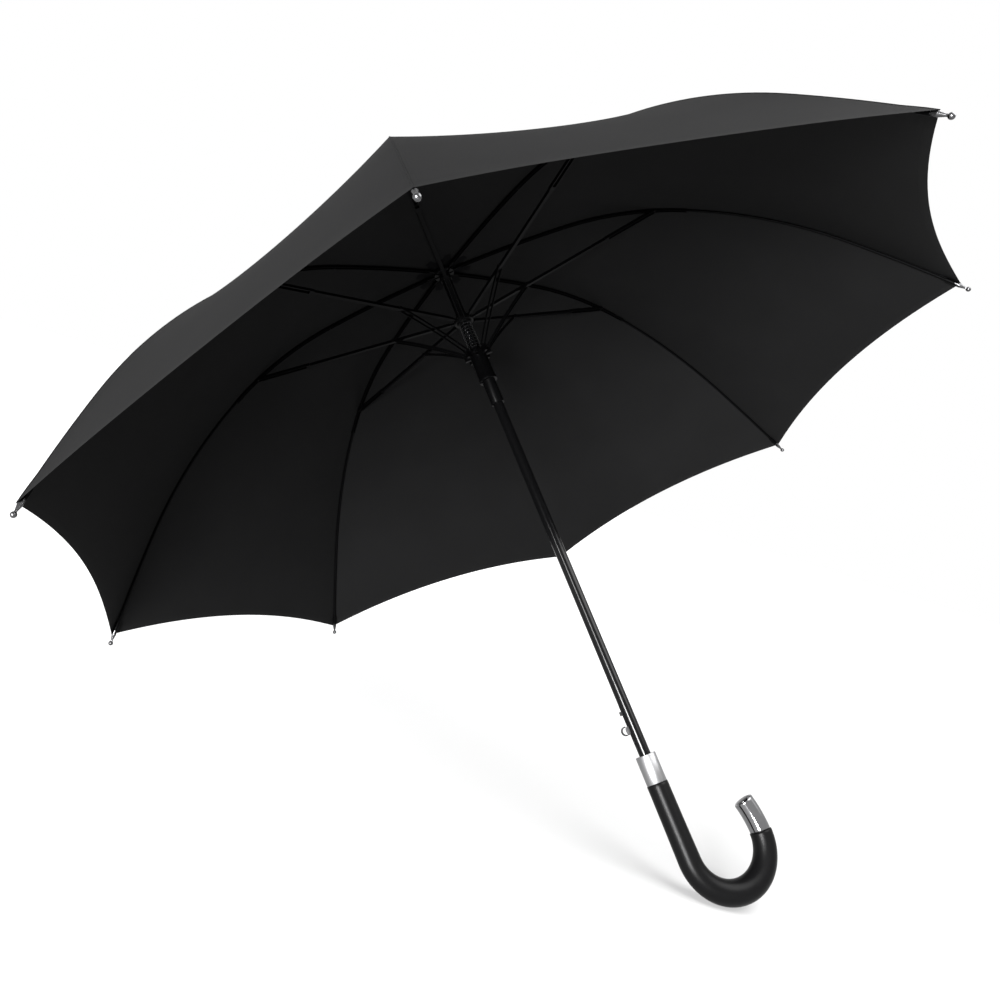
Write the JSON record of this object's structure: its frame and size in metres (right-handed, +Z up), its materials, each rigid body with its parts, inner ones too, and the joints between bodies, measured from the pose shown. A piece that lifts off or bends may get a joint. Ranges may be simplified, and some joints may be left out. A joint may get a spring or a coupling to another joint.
{
  "type": "stick umbrella",
  "caption": "Open black automatic stick umbrella with a domed windproof canopy on two-part jointed ribs, a slim shaft with a thumb catch, and a crook handle with a metal collar and end cap.",
  "frame": {"origin": "middle of the straight part of the grip, on the shaft's axis", "axes": "+Z up the shaft towards the ferrule, +X the side the crook opens towards, +Y completes the right-handed frame"},
  "size_m": [0.9778, 0.9778, 0.8614],
  "materials": {
    "shaft_black": "gloss black enamel",
    "hub_plastic": "moulded, satin",
    "rosette_cloth": "plain weave",
    "cap_metal": "satin black",
    "ferrule_black": "gloss black with a bright tip",
    "runner_plastic": "moulded, half gloss",
    "spring_steel": "drawn wire",
    "catch_steel": "bent polished strip",
    "collar_silver": "satin anodised",
    "grip_leather": "fine-grained leatherette",
    "end_chrome": "mirror plated",
    "rib_steel": "black coated steel channel",
    "rod_fibreglass": "black fibreglass",
    "tip_silver": "polished",
    "stretcher_steel": "black coated steel channel",
    "strut_steel": "dark plated strip",
    "canopy_cloth": "tight plain weave, satin"
  },
  "bodies": {
    "shaft_and_handle": {"shaft": "shaft_black", "top_notch": "hub_plastic", "rosette": "rosette_cloth", "crown_cap": "cap_metal", "ferrule": "ferrule_black", "handle_collar": "collar_silver", "crook_grip": "grip_leather", "grip_end_cap": "end_chrome"},
    "rib_arm_1": {"rib_1": "rib_steel", "gore_1": "canopy_cloth"},
    "rib_arm_2": {"rib_2": "rib_steel", "gore_2": "canopy_cloth"},
    "rib_arm_3": {"rib_3": "rib_steel", "gore_3": "canopy_cloth"},
    "rib_arm_4": {"rib_4": "rib_steel", "gore_4": "canopy_cloth"},
    "rib_arm_5": {"rib_5": "rib_steel", "gore_5": "canopy_cloth"},
    "rib_arm_6": {"rib_6": "rib_steel", "gore_6": "canopy_cloth"},
    "rib_arm_7": {"rib_7": "rib_steel", "gore_7": "canopy_cloth"},
    "rib_arm_8": {"rib_8": "rib_steel", "gore_8": "canopy_cloth"},
    "rod_arm_1": {"outer_rib_1": "rod_fibreglass", "rib_tip_1": "tip_silver"},
    "rod_arm_2": {"outer_rib_2": "rod_fibreglass", "rib_tip_2": "tip_silver"},
    "rod_arm_3": {"outer_rib_3": "rod_fibreglass", "rib_tip_3": "tip_silver"},
    "rod_arm_4": {"outer_rib_4": "rod_fibreglass", "rib_tip_4": "tip_silver"},
    "rod_arm_5": {"outer_rib_5": "rod_fibreglass", "rib_tip_5": "tip_silver"},
    "rod_arm_6": {"outer_rib_6": "rod_fibreglass", "rib_tip_6": "tip_silver"},
    "rod_arm_7": {"outer_rib_7": "rod_fibreglass", "rib_tip_7": "tip_silver"},
    "rod_arm_8": {"outer_rib_8": "rod_fibreglass", "rib_tip_8": "tip_silver"},
    "stretcher_arm_1": {"stretcher_1": "stretcher_steel"},
    "stretcher_arm_2": {"stretcher_2": "stretcher_steel"},
    "stretcher_arm_3": {"stretcher_3": "stretcher_steel"},
    "stretcher_arm_4": {"stretcher_4": "stretcher_steel"},
    "stretcher_arm_5": {"stretcher_5": "stretcher_steel"},
    "stretcher_arm_6": {"stretcher_6": "stretcher_steel"},
    "stretcher_arm_7": {"stretcher_7": "stretcher_steel"},
    "stretcher_arm_8": {"stretcher_8": "stretcher_steel"},
    "strut_arm_1": {"strut_1": "strut_steel"},
    "strut_arm_2": {"strut_2": "strut_steel"},
    "strut_arm_3": {"strut_3": "strut_steel"},
    "strut_arm_4": {"strut_4": "strut_steel"},
    "strut_arm_5": {"strut_5": "strut_steel"},
    "strut_arm_6": {"strut_6": "strut_steel"},
    "strut_arm_7": {"strut_7": "strut_steel"},
    "strut_arm_8": {"strut_8": "strut_steel"},
    "slider_body": {"upper_slider": "hub_plastic", "opening_spring": "spring_steel"},
    "runner_body": {"lower_runner": "runner_plastic"},
    "catch_body": {"release_catch": "catch_steel"}
  },
  "joints": [
    {"name": "rib_fold_1", "type": "hinge", "parent": "shaft_and_handle", "child": "rib_arm_1", "pos_m": [0.00924, 0.00383, 0.673], "axis": [-0.3827, 0.9239, 0], "range_deg": [0, 75], "stiffness_Nm_per_rad": 0.15, "springref_deg": -85.94, "deforming": ["gore_1"]},
    {"name": "rib_fold_2", "type": "hinge", "parent": "shaft_and_handle", "child": "rib_arm_2", "pos_m": [0.00383, 0.00924, 0.673], "axis": [-0.9239, 0.3827, 0], "range_deg": [0, 75], "stiffness_Nm_per_rad": 0.15, "springref_deg": -85.94, "deforming": ["gore_2"]},
    {"name": "rib_fold_3", "type": "hinge", "parent": "shaft_and_handle", "child": "rib_arm_3", "pos_m": [-0.00383, 0.00924, 0.673], "axis": [-0.9239, -0.3827, 0], "range_deg": [0, 75], "stiffness_Nm_per_rad": 0.15, "springref_deg": -85.94, "deforming": ["gore_3"]},
    {"name": "rib_fold_4", "type": "hinge", "parent": "shaft_and_handle", "child": "rib_arm_4", "pos_m": [-0.00924, 0.00383, 0.673], "axis": [-0.3827, -0.9239, 0], "range_deg": [0, 75], "stiffness_Nm_per_rad": 0.15, "springref_deg": -85.94, "deforming": ["gore_4"]},
    {"name": "rib_fold_5", "type": "hinge", "parent": "shaft_and_handle", "child": "rib_arm_5", "pos_m": [-0.00924, -0.00383, 0.673], "axis": [0.3827, -0.9239, 0], "range_deg": [0, 75], "stiffness_Nm_per_rad": 0.15, "springref_deg": -85.94, "deforming": ["gore_5"]},
    {"name": "rib_fold_6", "type": "hinge", "parent": "shaft_and_handle", "child": "rib_arm_6", "pos_m": [-0.00383, -0.00924, 0.673], "axis": [0.9239, -0.3827, 0], "range_deg": [0, 75], "stiffness_Nm_per_rad": 0.15, "springref_deg": -85.94, "deforming": ["gore_6"]},
    {"name": "rib_fold_7", "type": "hinge", "parent": "shaft_and_handle", "child": "rib_arm_7", "pos_m": [0.00383, -0.00924, 0.673], "axis": [0.9239, 0.3827, 0], "range_deg": [0, 75], "stiffness_Nm_per_rad": 0.15, "springref_deg": -85.94, "deforming": ["gore_7"]},
    {"name": "rib_fold_8", "type": "hinge", "parent": "shaft_and_handle", "child": "rib_arm_8", "pos_m": [0.00924, -0.00383, 0.673], "axis": [0.3827, 0.9239, 0], "range_deg": [0, 75], "stiffness_Nm_per_rad": 0.15, "springref_deg": -85.94, "deforming": ["gore_8"]},
    {"name": "rod_flex_1", "type": "hinge", "parent": "rib_arm_1", "child": "rod_arm_1", "pos_m": [0.27837, 0.11531, 0.61904], "axis": [-0.3827, 0.9239, 0], "range_deg": [-32.1, 0]},
    {"name": "rod_flex_2", "type": "hinge", "parent": "rib_arm_2", "child": "rod_arm_2", "pos_m": [0.11531, 0.27837, 0.61904], "axis": [-0.9239, 0.3827, 0], "range_deg": [-32.1, 0]},
    {"name": "rod_flex_3", "type": "hinge", "parent": "rib_arm_3", "child": "rod_arm_3", "pos_m": [-0.11531, 0.27837, 0.61904], "axis": [-0.9239, -0.3827, 0], "range_deg": [-32.1, 0]},
    {"name": "rod_flex_4", "type": "hinge", "parent": "rib_arm_4", "child": "rod_arm_4", "pos_m": [-0.27837, 0.11531, 0.61904], "axis": [-0.3827, -0.9239, 0], "range_deg": [-32.1, 0]},
    {"name": "rod_flex_5", "type": "hinge", "parent": "rib_arm_5", "child": "rod_arm_5", "pos_m": [-0.27837, -0.11531, 0.61904], "axis": [0.3827, -0.9239, 0], "range_deg": [-32.1, 0]},
    {"name": "rod_flex_6", "type": "hinge", "parent": "rib_arm_6", "child": "rod_arm_6", "pos_m": [-0.11531, -0.27837, 0.61904], "axis": [0.9239, -0.3827, 0], "range_deg": [-32.1, 0]},
    {"name": "rod_flex_7", "type": "hinge", "parent": "rib_arm_7", "child": "rod_arm_7", "pos_m": [0.11531, -0.27837, 0.61904], "axis": [0.9239, 0.3827, 0], "range_deg": [-32.1, 0]},
    {"name": "rod_flex_8", "type": "hinge", "parent": "rib_arm_8", "child": "rod_arm_8", "pos_m": [0.27837, -0.11531, 0.61904], "axis": [0.3827, 0.9239, 0], "range_deg": [-32.1, 0]},
    {"name": "stretcher_hinge_1", "type": "hinge", "parent": "rib_arm_1", "child": "stretcher_arm_1", "pos_m": [0.24711, 0.10236, 0.63628], "axis": [-0.3827, 0.9239, 0], "range_deg": [-150, 0]},
    {"name": "stretcher_hinge_2", "type": "hinge", "parent": "rib_arm_2", "child": "stretcher_arm_2", "pos_m": [0.10236, 0.24711, 0.63628], "axis": [-0.9239, 0.3827, 0], "range_deg": [-150, 0]},
    {"name": "stretcher_hinge_3", "type": "hinge", "parent": "rib_arm_3", "child": "stretcher_arm_3", "pos_m": [-0.10236, 0.24711, 0.63628], "axis": [-0.9239, -0.3827, 0], "range_deg": [-150, 0]},
    {"name": "stretcher_hinge_4", "type": "hinge", "parent": "rib_arm_4", "child": "stretcher_arm_4", "pos_m": [-0.24711, 0.10236, 0.63628], "axis": [-0.3827, -0.9239, 0], "range_deg": [-150, 0]},
    {"name": "stretcher_hinge_5", "type": "hinge", "parent": "rib_arm_5", "child": "stretcher_arm_5", "pos_m": [-0.24711, -0.10236, 0.63628], "axis": [0.3827, -0.9239, 0], "range_deg": [-150, 0]},
    {"name": "stretcher_hinge_6", "type": "hinge", "parent": "rib_arm_6", "child": "stretcher_arm_6", "pos_m": [-0.10236, -0.24711, 0.63628], "axis": [0.9239, -0.3827, 0], "range_deg": [-150, 0]},
    {"name": "stretcher_hinge_7", "type": "hinge", "parent": "rib_arm_7", "child": "stretcher_arm_7", "pos_m": [0.10236, -0.24711, 0.63628], "axis": [0.9239, 0.3827, 0], "range_deg": [-150, 0]},
    {"name": "stretcher_hinge_8", "type": "hinge", "parent": "rib_arm_8", "child": "stretcher_arm_8", "pos_m": [0.24711, -0.10236, 0.63628], "axis": [0.3827, 0.9239, 0], "range_deg": [-150, 0]},
    {"name": "strut_hinge_1", "type": "hinge", "parent": "stretcher_arm_1", "child": "strut_arm_1", "pos_m": [0.08241, 0.03413, 0.61086], "axis": [-0.3827, 0.9239, 0], "range_deg": [0, 25.4]},
    {"name": "strut_hinge_2", "type": "hinge", "parent": "stretcher_arm_2", "child": "strut_arm_2", "pos_m": [0.03413, 0.08241, 0.61086], "axis": [-0.9239, 0.3827, 0], "range_deg": [0, 25.4]},
    {"name": "strut_hinge_3", "type": "hinge", "parent": "stretcher_arm_3", "child": "strut_arm_3", "pos_m": [-0.03413, 0.08241, 0.61086], "axis": [-0.9239, -0.3827, 0], "range_deg": [0, 25.4]},
    {"name": "strut_hinge_4", "type": "hinge", "parent": "stretcher_arm_4", "child": "strut_arm_4", "pos_m": [-0.08241, 0.03413, 0.61086], "axis": [-0.3827, -0.9239, 0], "range_deg": [0, 25.4]},
    {"name": "strut_hinge_5", "type": "hinge", "parent": "stretcher_arm_5", "child": "strut_arm_5", "pos_m": [-0.08241, -0.03413, 0.61086], "axis": [0.3827, -0.9239, 0], "range_deg": [0, 25.4]},
    {"name": "strut_hinge_6", "type": "hinge", "parent": "stretcher_arm_6", "child": "strut_arm_6", "pos_m": [-0.03413, -0.08241, 0.61086], "axis": [0.9239, -0.3827, 0], "range_deg": [0, 25.4]},
    {"name": "strut_hinge_7", "type": "hinge", "parent": "stretcher_arm_7", "child": "strut_arm_7", "pos_m": [0.03413, -0.08241, 0.61086], "axis": [0.9239, 0.3827, 0], "range_deg": [0, 25.4]},
    {"name": "strut_hinge_8", "type": "hinge", "parent": "stretcher_arm_8", "child": "strut_arm_8", "pos_m": [0.08241, -0.03413, 0.61086], "axis": [0.3827, 0.9239, 0], "range_deg": [0, 25.4]},
    {"name": "slider_level", "type": "hinge", "parent": "stretcher_arm_1", "child": "slider_body", "pos_m": [0.00924, 0.00383, 0.59957], "axis": [-0.3827, 0.9239, 0], "range_deg": [0, 75]},
    {"name": "runner_slide", "type": "slide", "parent": "slider_body", "child": "runner_body", "axis": [0, 0, 1], "range_m": [0, 0.03226], "deforming": ["opening_spring"]},
    {"name": "catch_press", "type": "hinge", "parent": "shaft_and_handle", "child": "catch_body", "pos_m": [-0.0043, 0, 0.08], "axis": [0, 1, 0], "range_deg": [0, 6], "stiffness_Nm_per_rad": 0.1, "springref_deg": -1.15}
  ],
  "couplings": [
    {"joint": "rib_fold_2", "follows": "rib_fold_1", "ratio": 1},
    {"joint": "rib_fold_3", "follows": "rib_fold_1", "ratio": 1},
    {"joint": "rib_fold_4", "follows": "rib_fold_1", "ratio": 1},
    {"joint": "rib_fold_5", "follows": "rib_fold_1", "ratio": 1},
    {"joint": "rib_fold_6", "follows": "rib_fold_1", "ratio": 1},
    {"joint": "rib_fold_7", "follows": "rib_fold_1", "ratio": 1},
    {"joint": "rib_fold_8", "follows": "rib_fold_1", "ratio": 1},
    {"joint": "rod_flex_1", "follows": "rib_fold_1", "ratio": -0.42667},
    {"joint": "rod_flex_2", "follows": "rib_fold_1", "ratio": -0.42667},
    {"joint": "rod_flex_3", "follows": "rib_fold_1", "ratio": -0.42667},
    {"joint": "rod_flex_4", "follows": "rib_fold_1", "ratio": -0.42667},
    {"joint": "rod_flex_5", "follows": "rib_fold_1", "ratio": -0.42667},
    {"joint": "rod_flex_6", "follows": "rib_fold_1", "ratio": -0.42667},
    {"joint": "rod_flex_7", "follows": "rib_fold_1", "ratio": -0.42667},
    {"joint": "rod_flex_8", "follows": "rib_fold_1", "ratio": -0.42667},
    {"joint": "stretcher_hinge_1", "follows": "rib_fold_1", "ratio": -2},
    {"joint": "stretcher_hinge_2", "follows": "rib_fold_1", "ratio": -2},
    {"joint": "stretcher_hinge_3", "follows": "rib_fold_1", "ratio": -2},
    {"joint": "stretcher_hinge_4", "follows": "rib_fold_1", "ratio": -2},
    {"joint": "stretcher_hinge_5", "follows": "rib_fold_1", "ratio": -2},
    {"joint": "stretcher_hinge_6", "follows": "rib_fold_1", "ratio": -2},
    {"joint": "stretcher_hinge_7", "follows": "rib_fold_1", "ratio": -2},
    {"joint": "stretcher_hinge_8", "follows": "rib_fold_1", "ratio": -2},
    {"joint": "strut_hinge_1", "follows": "rib_fold_1", "ratio": 0.3383},
    {"joint": "strut_hinge_2", "follows": "rib_fold_1", "ratio": 0.3383},
    {"joint": "strut_hinge_3", "follows": "rib_fold_1", "ratio": 0.3383},
    {"joint": "strut_hinge_4", "follows": "rib_fold_1", "ratio": 0.3383},
    {"joint": "strut_hinge_5", "follows": "rib_fold_1", "ratio": 0.3383},
    {"joint": "strut_hinge_6", "follows": "rib_fold_1", "ratio": 0.3383},
    {"joint": "strut_hinge_7", "follows": "rib_fold_1", "ratio": 0.3383},
    {"joint": "strut_hinge_8", "follows": "rib_fold_1", "ratio": 0.3383},
    {"joint": "slider_level", "follows": "rib_fold_1", "ratio": 1},
    {"joint": "runner_slide", "follows": "rib_fold_1", "m_per_rad": 0.024571}
  ]
}
